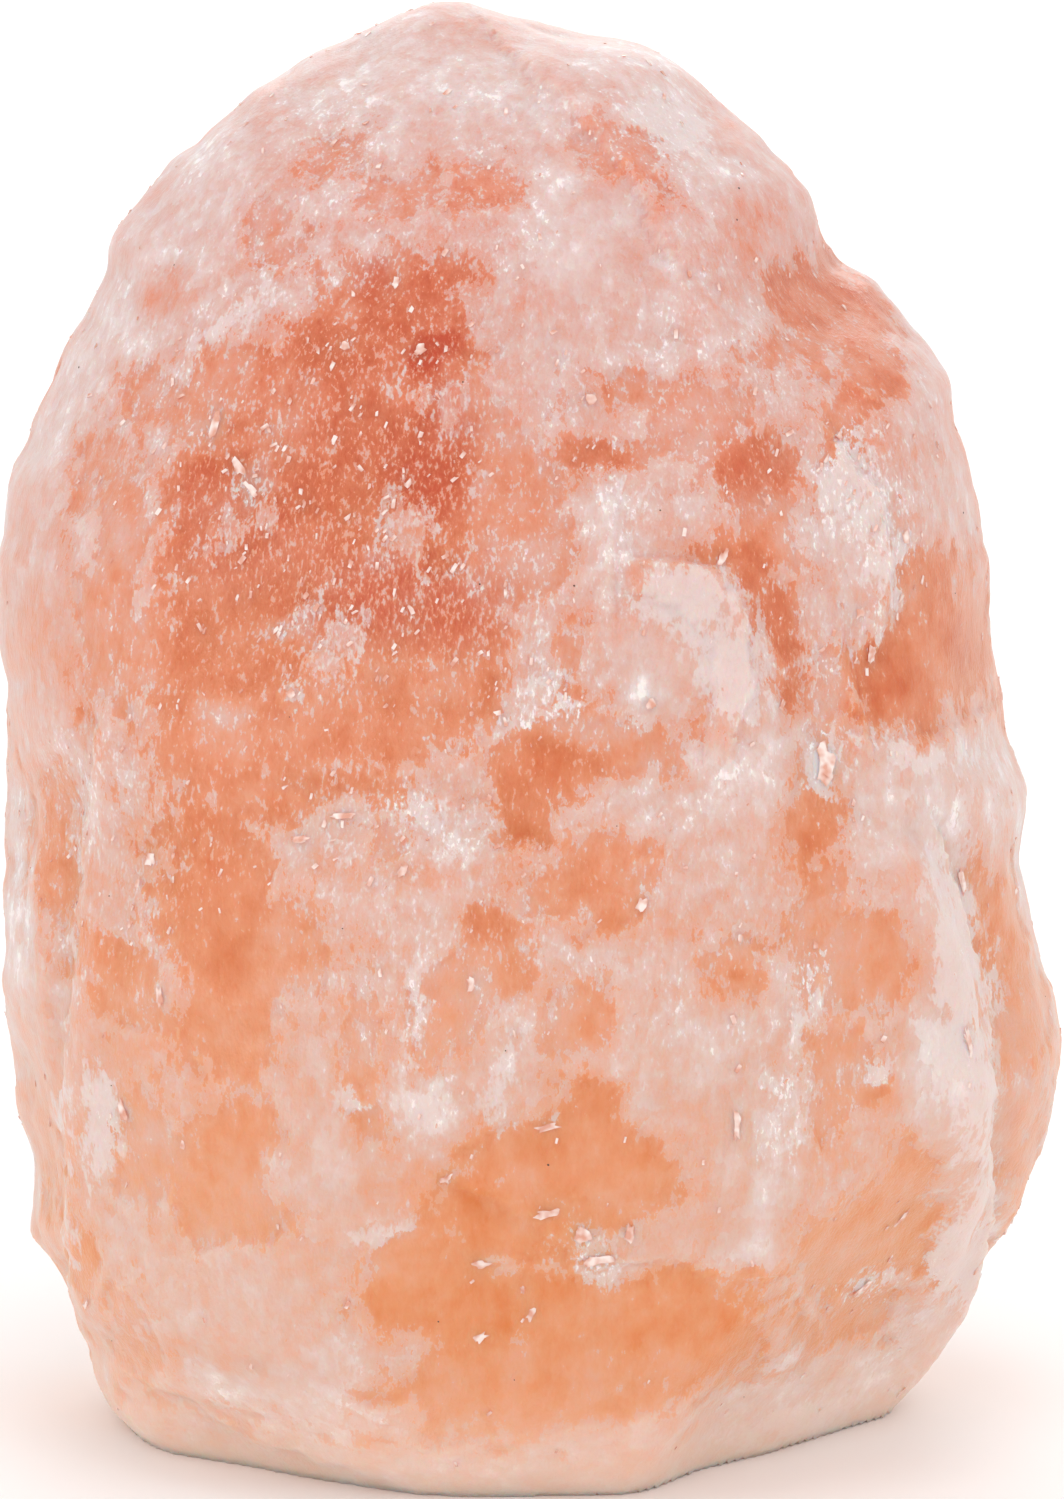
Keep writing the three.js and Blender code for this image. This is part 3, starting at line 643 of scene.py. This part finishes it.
# The point of the skin seen at a place of the picture, and how the skin faces there.
def skinAt(skin, across, down, place):
    points, normals = skin
    facing = normals @ np.array(backFromStone()) > showView["facing"]
    away = np.where(facing, np.hypot(across - place[0], down - place[1]), np.inf)
    nearest = int(np.argmin(away))
    return Vector(points[nearest]), Vector(normals[nearest])


# Lies flat on skin that faces the normal, its length leaning from upright by the turn.
def layOnSkin(normal, turn):
    tooShort = 0.05
    upright = Vector((0, 0, 1)) - normal * normal.z
    if upright.length < tooShort:
        upright = Vector((0, 1, 0)) - normal * normal.y
    upright.normalize()
    aside = upright.cross(normal)
    flat = Matrix((aside, upright, normal)).transposed().to_4x4()
    return flat @ Matrix.Rotation(turn, 4, "Z")


# Whether a unit cube under the matrix stays inside the box.
def cubeInside(matrix, low, high):
    halves = (-0.5, 0.5)
    corners = [matrix @ Vector((x, y, z)) for x in halves for y in halves for z in halves]
    return all(low[axis] <= corner[axis] <= high[axis] for corner in corners for axis in range(3))


# The larger flakes: rounded plates with ragged outlines, where the photo shows them.
def addSeenFlakes(shape, skin):
    across, down = seenAt(skin[0])
    least, more, fineness = chips["raggedness"]
    for atX, atY, length, width, lean in chips["seen"]:
        spot, normal = skinAt(skin, across, down, (atX, atY))
        flake = bmesh.ops.create_icosphere(shape, subdivisions=2, radius=0.5)["verts"]
        lay = layOnSkin(normal, math.radians(-lean))
        size = Vector((width / pointsPerMm, length / pointsPerMm, chips["seenThickness"])) * mm
        for corner in flake:
            ragged = least + more * noise.noise(corner.co * fineness + Vector((atX, atY, 0)))
            squared = [abs(part * 2) ** chips["squareness"] / 2 for part in corner.co]
            squared = Vector([math.copysign(*pair) for pair in zip(squared, corner.co)])
            corner.co = spot + lay @ (squared * size * ragged)


# Small cleavage flakes, most of them where the skin is shattered.
def addSmallFlakes(shape, skin, broken):
    points, normals = skin
    low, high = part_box("rock_salt_lump")
    chances = random.Random(chips["seed"])
    weights = (chips["smallestShare"] + broken ** 2) * (points[:, 2] > chips["smallFrom"] * mm)
    for at in chances.choices(range(len(points)), weights=weights.tolist(), k=chips["small"]):
        length = chances.triangular(*chips["smallLength"], chips["smallLength"][0])
        width = length * chances.uniform(*chips["smallWidth"])
        turn = math.radians(-salt["grainLean"] + chances.gauss(0, chips["smallSpread"]))
        tilt = math.radians(chips["smallTilt"])
        lay = layOnSkin(Vector(normals[at]), turn)
        lay = lay @ Matrix.Rotation(chances.uniform(-tilt, tilt), 4, "X")
        lay = lay @ Matrix.Rotation(chances.uniform(-tilt, tilt), 4, "Y")
        size = Matrix.Diagonal((width * mm, length * mm, chips["smallThickness"] * mm, 1))
        matrix = Matrix.Translation(Vector(points[at])) @ lay @ size
        if cubeInside(matrix, low, high):
            bmesh.ops.create_cube(shape, size=1, matrix=matrix)


def makeChips(skin, broken):
    shape = bmesh.new()
    addSeenFlakes(shape, skin)
    addSmallFlakes(shape, skin, broken)
    return addMesh("saltFlakes", shape)


# Dark grains in the skin: across, down and half size in mm.
specks = {
    "seen": [
        (578, 589, 0.16), (463, 380, 0.14), (292, 718, 0.10), (545, 1168, 0.18), (440, 1322, 0.14),
        (110, 1083, 0.12), (744, 1395, 0.10), (375, 28, 0.14), (736, 221, 0.16), (172, 267, 0.12),
        (340, 928, 0.12), (505, 1048, 0.12),
    ],
    "more": 26,
    "moreFrom": 2.0,  # mm above the foot
    "moreSize": (0.08, 0.18),
    "sunk": 0.4,  # the part of the half size that lies under the skin
    "colour": "54342c",
    "roughness": 0.5,
    "seed": 8,
}


def addGrain(shape, spot, half):
    bmesh.ops.create_icosphere(shape, subdivisions=1, radius=half * mm,
                               matrix=Matrix.Translation(spot))


def makeSpecks(skin):
    shape = bmesh.new()
    across, down = seenAt(skin[0])
    for atX, atY, half in specks["seen"]:
        spot, normal = skinAt(skin, across, down, (atX, atY))
        addGrain(shape, spot - normal * half * specks["sunk"] * mm, half)
    chances = random.Random(specks["seed"])
    for _ in range(specks["more"]):
        at = chances.randrange(len(skin[0]))
        half = chances.uniform(*specks["moreSize"])
        spot = Vector(skin[0][at]) - Vector(skin[1][at]) * half * specks["sunk"] * mm
        if spot.z > specks["moreFrom"] * mm:
            addGrain(shape, spot, half)
    return addMesh("darkSpecks", shape)


# A colour code as linear light.
def colourOf(code):
    parts = [int(code[at:at + 2], 16) / 255 for at in (0, 2, 4)]
    linear = [part / 12.92 if part <= 0.04045 else ((part + 0.055) / 1.055) ** 2.4 for part in parts]
    return linear + [1]


def feed(tree, socket, value):
    if isinstance(value, bpy.types.NodeSocket):
        tree.links.new(value, socket)
    else:
        socket.default_value = value


def addNode(tree, kind, sockets=(), **settings):
    node = tree.nodes.new(kind)
    for name, value in settings.items():
        setattr(node, name, value)
    for name, value in dict(sockets).items():
        feed(tree, node.inputs[name], value)
    return node


def mathOf(tree, operation, *values):
    return addNode(tree, "ShaderNodeMath", dict(enumerate(values)), operation=operation).outputs[0]


# The base and each value times its factor, added up.
def addUp(tree, base, *terms):
    for value, factor in terms:
        base = mathOf(tree, "MULTIPLY_ADD", value, factor, base)
    return base


def noiseOf(tree, place, scale, detail, roughness=0.55):
    return addNode(tree, "ShaderNodeTexNoise", {
        "Vector": place, "Scale": scale, "Detail": detail, "Roughness": roughness,
    }).outputs["Fac"]


def rangeOf(tree, value, fromLow, fromHigh, toLow=0.0, toHigh=1.0, kind="LINEAR"):
    return addNode(tree, "ShaderNodeMapRange", {
        "Value": value, "From Min": fromLow, "From Max": fromHigh, "To Min": toLow, "To Max": toHigh,
    }, interpolation_type=kind).outputs["Result"]


def softRangeOf(tree, value, fromLow, fromHigh, toLow=0.0, toHigh=1.0):
    return rangeOf(tree, value, fromLow, fromHigh, toLow, toHigh, "SMOOTHSTEP")


# The colour of a value, from stops that may lie anywhere.
def rampOf(tree, value, stops):
    lowest, highest = stops[0][0], stops[-1][0]
    ramp = addNode(tree, "ShaderNodeValToRGB", {"Fac": rangeOf(tree, value, lowest, highest)})
    points = ramp.color_ramp.elements
    while len(points) < len(stops):
        points.new(0.5)
    for point, (place, code) in zip(points, stops):
        point.position = (place - lowest) / (highest - lowest)
        point.color = colourOf(code)
    return ramp.outputs["Color"]


def mixOf(tree, factor, first, second):
    mix = addNode(tree, "ShaderNodeMix", data_type="FLOAT")
    for place, value in zip((0, 2, 3), (factor, first, second)):
        feed(tree, mix.inputs[place], value)
    return mix.outputs[0]


def mixColours(tree, factor, first, second):
    mix = addNode(tree, "ShaderNodeMix", {"Factor": factor}, data_type="RGBA")
    feed(tree, mix.inputs["A"], first)
    feed(tree, mix.inputs["B"], second)
    return mix.outputs["Result"]


# Cubes of the place, each with its own value round zero, their faces made ragged.
def cubesOf(tree, place, scale, ragged):
    sized = addNode(tree, "ShaderNodeVectorMath", {0: place, 1: (scale,) * 3, 2: ragged},
                    operation="MULTIPLY_ADD")
    cube = addNode(tree, "ShaderNodeVectorMath", {0: sized.outputs[0]}, operation="FLOOR")
    value = addNode(tree, "ShaderNodeTexWhiteNoise", {"Vector": cube.outputs[0]}).outputs["Value"]
    return mathOf(tree, "SUBTRACT", value, 0.5)


# What the salt looks like. Lengths are in mm, and tones are lightness from 0 to 1.
salt = {
    # Deep clear salt to white frost, as lightness and colour, near the crown and near the foot.
    "crownColours": [(-0.18, "c24c22"), (0.00, "cf6840"), (0.12, "d87a56"), (0.26, "de8e70"),
                     (0.40, "dc9e8c"), (0.54, "dbaca1"), (0.66, "dcb8b0"), (0.78, "dec3be"),
                     (0.90, "e3d0cd"), (1.00, "f4eae8")],
    "footColours": [(-0.18, "e18440"), (0.00, "e49560"), (0.12, "e59d6e"), (0.26, "e5a57f"),
                    (0.40, "e3ab8e"), (0.54, "e1b49f"), (0.66, "e0bdae"), (0.78, "e1c6bc"),
                    (0.90, "e5d3cd"), (1.00, "f6ebe6")],
    "warmBelow": (0.155, 0.030),  # heights in m between which the salt turns from pink to orange
    "rust": "c6481a",
    "rustFades": (0.26, 0.02),  # slivers and their painted glints that hide the rust, and that leave it whole
    "rustUnderFrost": 0.25,
    # pale colour painted near the foot as light, against the floor's shade there
    "footPaintedLight": "fcdac6",
    "paleFoot": (0.017, 0.001, 0.0, 0.6),  # two heights, and how much painted light there is at each, against the shade near the floor

    "grainLean": 20,  # degrees that the grain leans from upright
    "grainStretch": 0.48,
    "cubeTurn": (0.3, 0.5),  # how the cleavage cubes are turned about X and Z
    "crumb": (0.60, 4.0, 0.62),  # noise: waves in a mm, detail, roughness
    "grain": (2.2, 2.0, 0.6),
    "plates": (0.40, 1.6),  # cubes in a mm, and how ragged the crumb makes their faces
    "scales": (1.20, 3.0),
    "lively": (0.0, 0.35, 0.5, 1.0),  # broken from and to, and how lively the grain is there
    "softness": (0.2, 0.6),  # of a patch's edge without haze, and what haze adds

    # How far crumb, plates, scales and grain draw an edge out of its line.
    "ragged": (9.0, 1.3, 0.6, 4.5),
    "crispEdge": (-0.16, 0.16),
    "snowEdge": (-0.30, 0.30),
    "snowCover": 0.8,
    "blurring": 0.4,  # the part of the raggedness that soft edges keep
    "softSnow": (-1.0, 1.2, 0.0, 0.75),
    "veilRagged": (-8.0, 2.0, 4.0),  # crumb, plates and grain again, for the veil deeper in
    "veilEdge": (2.80, 3.30),
    "veilShare": 0.45,

    "clearMarks": (0.45, 0.06),  # how crumb and plates show in clear salt
    "filmMarks": (0.85, 0.12, 0.08),  # and crumb, plates and scales in frost
    "snowTone": 0.92,
    "rim": (0.75, 0.1, 0.16),  # depths where the lighter edge of frost ends and is full; partly its own white, partly a painted highlight
    "sliverAndGlintMarks": (0.40, 0.12),  # how crumb and shattering help the grain to slivers and painted glints
    "sliversAndGlints": (0.14, 0.21),
    "sliverAndGlintLight": (0.32, -0.18, -0.08),  # painted sliver light, partly glints: on clear salt, and what frost and snow take away
    "grainMarks": (0.12, 0.30),  # on whole and, added to it, on shattered skin

    "ior": 1.544,
    "roughness": (0.34, 0.55),  # of clear salt and of frost
    "roughnessTones": (0.3, 0.8),
    "bump": (0.6, 0.3),  # strength and height
    "dust": (0.22, 0.35),  # how much pale dust shows at a glance, and how spread
    "seeInto": 5.5,
    "seeIntoColours": (1.0, 0.42, 0.26),
}


# The fine marks of the salt, all round zero but for the raw grain: crumb and grain are noise that
# leans, and plates and scales are cleavage cubes, large and small.
def marksOf(tree, spot, lively):
    lean = math.radians(-salt["grainLean"])
    turnX, turnZ = salt["cubeTurn"]
    place = addNode(tree, "ShaderNodeMapping", {
        "Vector": spot, "Rotation": (turnX, lean, turnZ), "Scale": (1 / mm,) * 3,
    }).outputs[0]
    stretched = addNode(tree, "ShaderNodeMapping", {
        "Vector": spot, "Rotation": (0, lean, 0),
        "Scale": (1 / mm, 1 / mm, salt["grainStretch"] / mm),
    }).outputs[0]
    crumb = noiseOf(tree, stretched, *salt["crumb"])
    grain = noiseOf(tree, stretched, *salt["grain"])
    marks = {"crumb": mathOf(tree, "SUBTRACT", crumb, 0.5), "rawGrain": grain}
    marks["grain"] = mathOf(tree, "SUBTRACT", grain, 0.5)
    marks["calmGrain"] = mathOf(tree, "MULTIPLY", marks["grain"], lively)
    marks["calmCrumb"] = mathOf(tree, "MULTIPLY", marks["crumb"], lively)
    for name in ("plates", "scales"):
        scale, ragged = salt[name]
        marks[name] = cubesOf(tree, place, scale, mathOf(tree, "MULTIPLY", crumb, ragged))
    return marks


# How much frost covers each place, its raggedness and its crisp edge, and how white it is.
def frostOf(tree, skin, marks):
    crumb, plates, scales, grain = salt["ragged"]
    ragged = addUp(tree, mathOf(tree, "MULTIPLY", marks["crumb"], crumb), (marks["plates"], plates),
                   (marks["scales"], scales), (marks["grain"], grain))
    edge = mathOf(tree, "ADD", skin["frost"], ragged)
    crisp = softRangeOf(tree, edge, *salt["crispEdge"])
    crumb, plates, grain = salt["veilRagged"]
    frayed = addUp(tree, skin["frost"], (marks["crumb"], crumb), (marks["plates"], plates),
                   (marks["rawGrain"], grain))
    veil = softRangeOf(tree, frayed, *salt["veilEdge"])
    sheets = mixOf(tree, salt["veilShare"], crisp, veil)
    blurred = addUp(tree, skin["frost"], (ragged, salt["blurring"]))
    deepest = paint["deepest"][0]
    blurred = softRangeOf(tree, blurred, -deepest, deepest)
    softness = addUp(tree, salt["softness"][0], (skin["haze"], salt["softness"][1]))
    frosted = mixOf(tree, softness, sheets, blurred)

    white = mathOf(tree, "ADD", skin["snow"], ragged)
    white = softRangeOf(tree, white, *salt["snowEdge"], 0, salt["snowCover"])
    wisps = addUp(tree, skin["snow"], (ragged, salt["blurring"]))
    whitened = mixOf(tree, softness, white, softRangeOf(tree, wisps, *salt["softSnow"]))
    return frosted, whitened, edge, crisp


# Slivers of cleavage, painted lighter: partly their own pale colour, partly painted glints where
# they catch the light.
def sliversAndGlintsOf(tree, skin, marks):
    crumb, shattering = salt["sliverAndGlintMarks"]
    return addUp(tree, marks["calmGrain"], (marks["crumb"], crumb), (skin["broken"], shattering))


# The lightness of each place, from 0, deep clear salt, to 1, white frost.
def lightOf(tree, skin, marks, frost, sliversAndGlints):
    frosted, whitened, edge, crisp = frost
    crumb, plates = salt["clearMarks"]
    clear = addUp(tree, skin["clearTone"], (marks["crumb"], crumb), (marks["plates"], plates))
    crumb, plates, scales = salt["filmMarks"]
    film = addUp(tree, skin["frostTone"], (marks["calmCrumb"], crumb), (marks["plates"], plates),
                 (marks["scales"], scales))
    light = mixOf(tree, frosted, clear, film)
    light = mixOf(tree, whitened, light, salt["snowTone"])
    # Partly painted highlight: a lighter rim along the crisp edge of the frost.
    rimEnds, rimFull, rimLight = salt["rim"]
    frostRimAndHighlight = rangeOf(tree, edge, rimEnds, rimFull, 0, rimLight)
    light = addUp(tree, light, (mathOf(tree, "MULTIPLY", frostRimAndHighlight, crisp), crisp))
    whole, shattering = salt["grainMarks"]
    contrast = addUp(tree, whole, (skin["broken"], shattering))
    light = addUp(tree, light, (marks["calmGrain"], contrast))
    onClear, underFrost, underSnow = salt["sliverAndGlintLight"]
    brighter = addUp(tree, onClear, (frosted, underFrost), (whitened, underSnow))
    # Partly painted highlight: flecks lighter than the salt round them, standing in for glints as
    # well as pale slivers.
    flecksAndGlints = softRangeOf(tree, sliversAndGlints, *salt["sliversAndGlints"])
    return addUp(tree, light, (flecksAndGlints, brighter))


# The salt's colour: pink at the crown and orange at the foot, with rust, and painted light that
# makes the foot paler against the shade near the floor.
def tintOf(tree, skin, spot, light, frosted, sliversAndGlints):
    height = addNode(tree, "ShaderNodeSeparateXYZ", {"Vector": spot}).outputs["Z"]
    warm = rangeOf(tree, height, *salt["warmBelow"])
    colour = mixColours(tree, warm, rampOf(tree, light, salt["crownColours"]),
                        rampOf(tree, light, salt["footColours"]))
    speckled = rangeOf(tree, sliversAndGlints, *salt["rustFades"])
    bare = addUp(tree, 1.0, (frosted, salt["rustUnderFrost"] - 1.0))
    rusted = mathOf(tree, "MULTIPLY", mathOf(tree, "MULTIPLY", skin["rust"], speckled), bare)
    colour = mixColours(tree, rusted, colour, colourOf(salt["rust"]))
    # Painted light: paler towards the foot, where the floor shades the stone.
    footLit = rangeOf(tree, height, *salt["paleFoot"])
    return mixColours(tree, footLit, colour, colourOf(salt["footPaintedLight"]))


def plainMaterial(name, colour, roughness, ior=None):
    material = bpy.data.materials.new(name)
    material.use_nodes = True
    shader = material.node_tree.nodes["Principled BSDF"]
    shader.inputs["Base Color"].default_value = colourOf(colour)
    shader.inputs["Roughness"].default_value = roughness
    if ior:
        shader.inputs["IOR"].default_value = ior
    return material


def saltMaterial():
    material = plainMaterial("rockSalt", salt["footPaintedLight"], salt["roughness"][0], salt["ior"])
    tree = material.node_tree
    shader = tree.nodes["Principled BSDF"]
    spot = addNode(tree, "ShaderNodeTexCoord").outputs["Object"]
    skin = {name: addNode(tree, "ShaderNodeAttribute", attribute_name=name).outputs["Fac"]
            for name in ("frost", "snow", "haze", "clearTone", "frostTone", "rust", "broken")}
    marks = marksOf(tree, spot, rangeOf(tree, skin["broken"], *salt["lively"]))
    frost = frostOf(tree, skin, marks)
    sliversAndGlints = sliversAndGlintsOf(tree, skin, marks)
    light = lightOf(tree, skin, marks, frost, sliversAndGlints)
    colour = tintOf(tree, skin, spot, light, frost[0], sliversAndGlints)
    strength, height = salt["bump"]
    bump = addNode(tree, "ShaderNodeBump", {
        "Height": marks["rawGrain"], "Strength": strength, "Distance": height * mm,
    })
    rough = rangeOf(tree, light, *salt["roughnessTones"], *salt["roughness"])
    tree.links.new(colour, shader.inputs["Base Color"])
    tree.links.new(rough, shader.inputs["Roughness"])
    tree.links.new(bump.outputs["Normal"], shader.inputs["Normal"])
    shader.inputs["Subsurface Weight"].default_value = 1.0
    shader.inputs["Subsurface Radius"].default_value = salt["seeIntoColours"]
    shader.inputs["Subsurface Scale"].default_value = salt["seeInto"] * mm
    shader.inputs["Sheen Weight"].default_value = salt["dust"][0]
    shader.inputs["Sheen Roughness"].default_value = salt["dust"][1]
    return material


def flakeMaterial():
    palest = chips["colours"][-1][1]
    material = plainMaterial("paleFlake", palest, chips["roughness"], salt["ior"])
    tree = material.node_tree
    spot = addNode(tree, "ShaderNodeTexCoord").outputs["Object"]
    tone = noiseOf(tree, spot, 1 / (chips["colourWave"] * mm), 1.0)
    shader = tree.nodes["Principled BSDF"]
    tree.links.new(rampOf(tree, tone, chips["colours"]), shader.inputs["Base Color"])
    return material


# The floor and the soft light of the show view.
studio = {
    "world": 0.90,
    "floor": "ffffff",
    "floorRoughness": 0.9,
    "floorSize": 30.0,
    # place, size and power of each soft light; all look at the middle of the stone
    "lights": {
        "overhead": ((0.10, -0.35, 1.50), 0.6, 2.6),
        "frontRight": ((1.10, -1.20, 0.90), 0.5, 1.6),
        "frontLeft": ((-0.95, -1.35, 0.16), 0.8, 3.6),
        "behind": ((0.0, 3.4, 1.6), 2.4, 30.0),
    },
}


def makeFloor():
    shape = bmesh.new()
    bmesh.ops.create_grid(shape, x_segments=1, y_segments=1, size=studio["floorSize"] / 2)
    floor = addMesh("floor", shape)
    material = plainMaterial("paleFloor", studio["floor"], studio["floorRoughness"])
    floor.data.materials.append(material)


def lightStudio():
    scene = bpy.context.scene
    world = bpy.data.worlds.new("softRoom")
    world.use_nodes = True
    sky = world.node_tree.nodes["Background"]
    sky.inputs["Color"].default_value = (1, 1, 1, 1)
    sky.inputs["Strength"].default_value = studio["world"]
    scene.world = world
    for name, (place, size, power) in studio["lights"].items():
        data = bpy.data.lights.new(name, "AREA")
        data.shape = "DISK"
        data.size = size
        data.energy = power
        light = addToScene(name, data)
        light.location = place
        towards = Vector(place) - Vector(showView["aim"])
        light.rotation_euler = towards.to_track_quat("Z", "Y").to_euler()
    scene.view_settings.view_transform = "Standard"
    scene.view_settings.look = "None"


print("camera, floor and lights")
makeCamera()
makeFloor()
lightStudio()

print("the stone")
stone = makeLump()
stone.data.materials.append(saltMaterial())
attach(stone, "root")
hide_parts("rock_salt_lump")

print("flakes and specks")
skin = skinOf(stone.data)
broken = np.empty(len(skin[0]), np.float32)
stone.data.attributes["broken"].data.foreach_get("value", broken)
flakes = makeChips(skin, broken)
flakes.data.materials.append(flakeMaterial())
darkGrains = makeSpecks(skin)
darkGrain = plainMaterial("darkGrain", specks["colour"], specks["roughness"], salt["ior"])
darkGrains.data.materials.append(darkGrain)
for piece in (flakes, darkGrains):
    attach(piece, "root")
for piece in (stone, flakes, darkGrains):
    print(piece.name, sum(len(face.vertices) - 2 for face in piece.data.polygons), "triangles")
